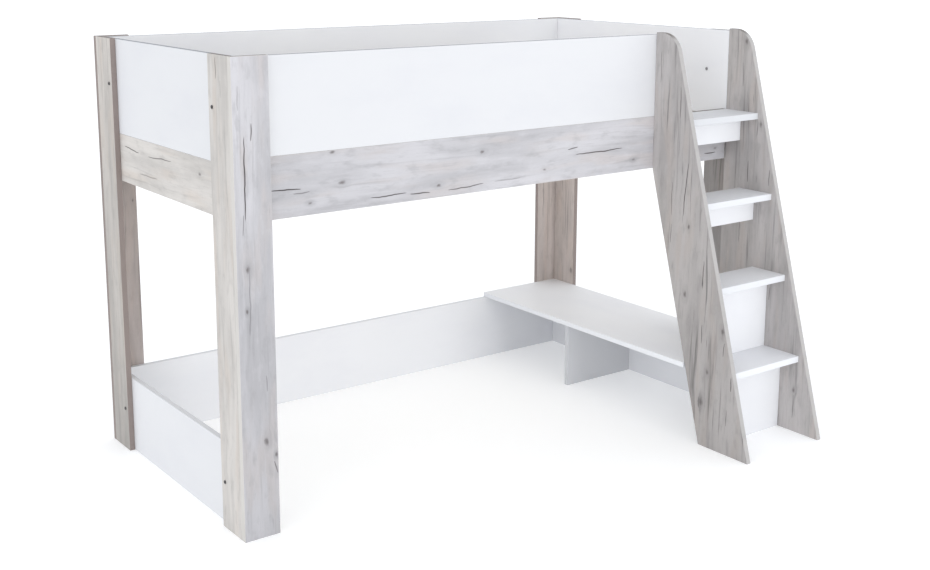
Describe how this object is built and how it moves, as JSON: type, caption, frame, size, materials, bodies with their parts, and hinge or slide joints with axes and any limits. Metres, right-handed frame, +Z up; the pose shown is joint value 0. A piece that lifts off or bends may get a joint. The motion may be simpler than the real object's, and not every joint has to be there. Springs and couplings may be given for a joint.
{
  "type": "loft bed",
  "caption": "Low loft bed of lapped boards on corner posts, with guard panels, a raked stair at one end, a slatted base, and a low shelf under it by the stair.",
  "frame": {"origin": "on the floor, under the middle of the outline of the bed with its stair", "axes": "+X along the bed from its closed end towards the stair end, +Y from the stair side to the wall side, +Z up"},
  "size_m": [1.989, 1.4422, 1.386],
  "materials": {
    "weathered_oak": "matt grey-washed cracked oak decor on board",
    "white_melamine": "satin white melamine on board",
    "slat_pine": "planed unfinished pine",
    "bolt_steel": "blackened"
  },
  "bodies": {
    "root": {"post_front_left_face": "weathered_oak", "post_front_left_side": "weathered_oak", "post_back_left_face": "weathered_oak", "post_back_left_side": "weathered_oak", "post_back_right_face": "weathered_oak", "post_back_right_side": "weathered_oak", "leg_front_right": "weathered_oak", "rail_front": "weathered_oak", "rail_back": "weathered_oak", "rail_left": "weathered_oak", "rail_right": "weathered_oak", "stair_side_left": "weathered_oak", "stair_side_right": "weathered_oak", "guard_front": "white_melamine", "guard_back": "white_melamine", "guard_left": "white_melamine", "guard_right": "white_melamine", "base_left": "white_melamine", "base_rear": "white_melamine", "base_right": "white_melamine", "shelf_top": "white_melamine", "shelf_partition": "white_melamine", "tread_1": "white_melamine", "tread_2": "white_melamine", "tread_3": "white_melamine", "tread_4": "white_melamine", "riser_1": "white_melamine", "riser_2": "white_melamine", "riser_3": "white_melamine", "riser_4": "white_melamine", "slat_bearer_front": "slat_pine", "slat_bearer_back": "slat_pine", "slat_01": "slat_pine", "slat_02": "slat_pine", "slat_03": "slat_pine", "slat_04": "slat_pine", "slat_05": "slat_pine", "slat_06": "slat_pine", "slat_07": "slat_pine", "slat_08": "slat_pine", "slat_09": "slat_pine", "slat_10": "slat_pine", "slat_11": "slat_pine", "bolt_left_front_upper": "bolt_steel", "bolt_left_front_lower": "bolt_steel", "bolt_left_back_upper": "bolt_steel", "bolt_left_back_lower": "bolt_steel", "bolt_right_front_upper": "bolt_steel", "bolt_right_front_lower": "bolt_steel", "bolt_right_back_upper": "bolt_steel", "bolt_right_back_lower": "bolt_steel", "sleeve_nut_left_front_upper": "bolt_steel", "sleeve_nut_left_front_lower": "bolt_steel", "sleeve_nut_left_back_upper": "bolt_steel", "sleeve_nut_left_back_lower": "bolt_steel", "sleeve_nut_right_front_upper": "bolt_steel", "sleeve_nut_right_front_lower": "bolt_steel", "sleeve_nut_right_back_upper": "bolt_steel", "sleeve_nut_right_back_lower": "bolt_steel"}
  },
  "joints": []
}
